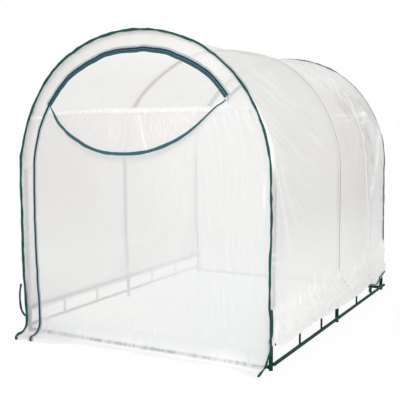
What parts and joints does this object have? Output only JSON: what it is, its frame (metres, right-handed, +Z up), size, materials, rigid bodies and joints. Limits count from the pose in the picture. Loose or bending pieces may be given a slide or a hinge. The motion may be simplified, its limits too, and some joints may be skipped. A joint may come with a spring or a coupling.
{
  "type": "polytunnel greenhouse",
  "caption": "Walk-in polytunnel greenhouse: translucent film over steel hoops on a low base frame, with a zipped door whose top folds down as a vent.",
  "frame": {"origin": "centre of the footprint, on the ground under the posts' feet", "axes": "+Z up; the tunnel runs along Y, its door faces -Y; +X is to the right as seen from the door"},
  "size_m": [1.8838, 2.7686, 2.0041],
  "materials": {
    "galvanised_tube": "galvanised steel tube, pale grey, satin",
    "green_steel": "dark green powder coat, satin",
    "film": "translucent whitish polyethylene film, softly creased",
    "piping": "dark teal green vinyl piping, satin",
    "binding": "woven teal binding tape",
    "zip_tape": "woven dark blue-green zip tape with a coil",
    "slider_metal": "plated zip slider",
    "white_tie": "white tie band"
  },
  "bodies": {
    "root": {"cover_left_wall": "film", "cover_right_wall": "film", "cover_roof_1": "film", "cover_roof_2": "film", "cover_roof_3": "film", "cover_roof_4": "film", "cover_roof_5": "film", "cover_roof_6": "film", "door_panel": "film", "door_zip": "zip_tape", "flap_binding": "binding", "front_base_rail": "green_steel", "front_hoop_crown": "galvanised_tube", "front_hoop_legs": "galvanised_tube", "front_piping": "piping", "front_skirt": "film", "front_surround_left": "film", "front_surround_right": "film", "front_surround_top_1": "film", "front_surround_top_2": "film", "front_surround_top_3": "film", "front_surround_top_4": "film", "hoop_ties": "white_tie", "left_base_posts": "green_steel", "left_front_side_frame": "green_steel", "left_rear_side_frame": "green_steel", "middle_hoop_crown": "galvanised_tube", "middle_hoop_legs": "galvanised_tube", "rear_base_rail": "green_steel", "rear_hoop_crown": "galvanised_tube", "rear_hoop_legs": "galvanised_tube", "rear_panel": "film", "rear_piping": "piping", "rear_skirt": "film", "right_base_posts": "green_steel", "right_front_side_frame": "green_steel", "right_rear_side_frame": "green_steel", "vent_flap": "film", "zip_slider": "slider_metal"}
  },
  "joints": []
}
